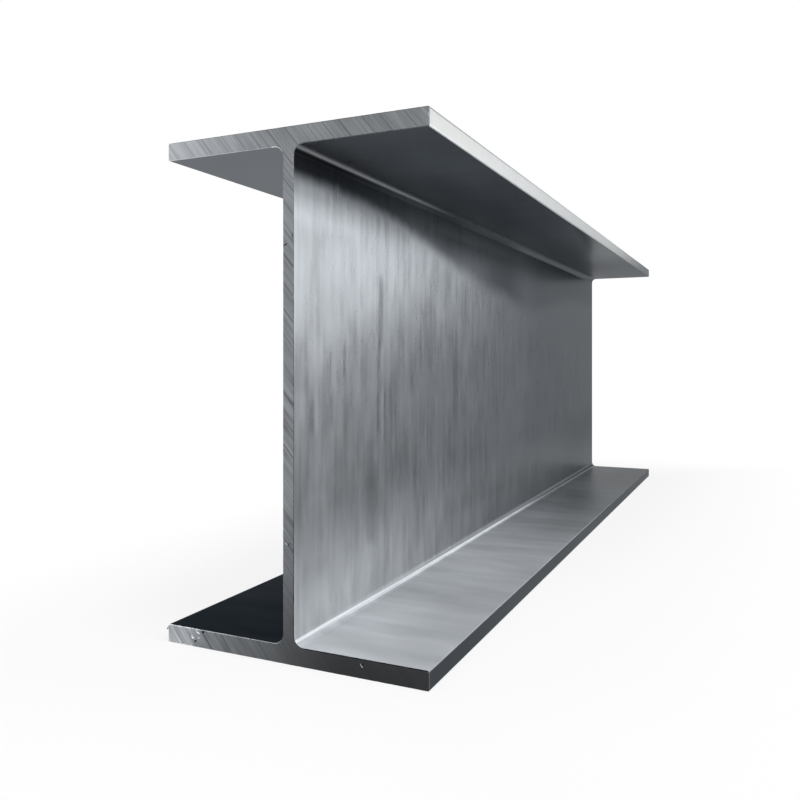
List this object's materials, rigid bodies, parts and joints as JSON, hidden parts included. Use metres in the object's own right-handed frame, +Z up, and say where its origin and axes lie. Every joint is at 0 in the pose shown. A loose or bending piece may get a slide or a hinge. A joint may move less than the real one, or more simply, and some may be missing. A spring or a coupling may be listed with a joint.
{
  "type": "steel i-beam",
  "caption": "Straight steel I-beam: parallel flanges joined by a thin web with rounded roots, cut square at its ends.",
  "frame": {"origin": "middle of the bottom flange's underside, halfway along the beam", "axes": "+X along the beam, +Y across its flanges, +Z up its web"},
  "size_m": [0.72, 0.146, 0.258],
  "materials": {
    "rolled_steel": "bare hot-rolled steel, grey with a soft sheen and upright streaks on the web; ends sawn, with slanting saw marks"
  },
  "bodies": {
    "root": {"i_beam": "rolled_steel"}
  },
  "joints": []
}
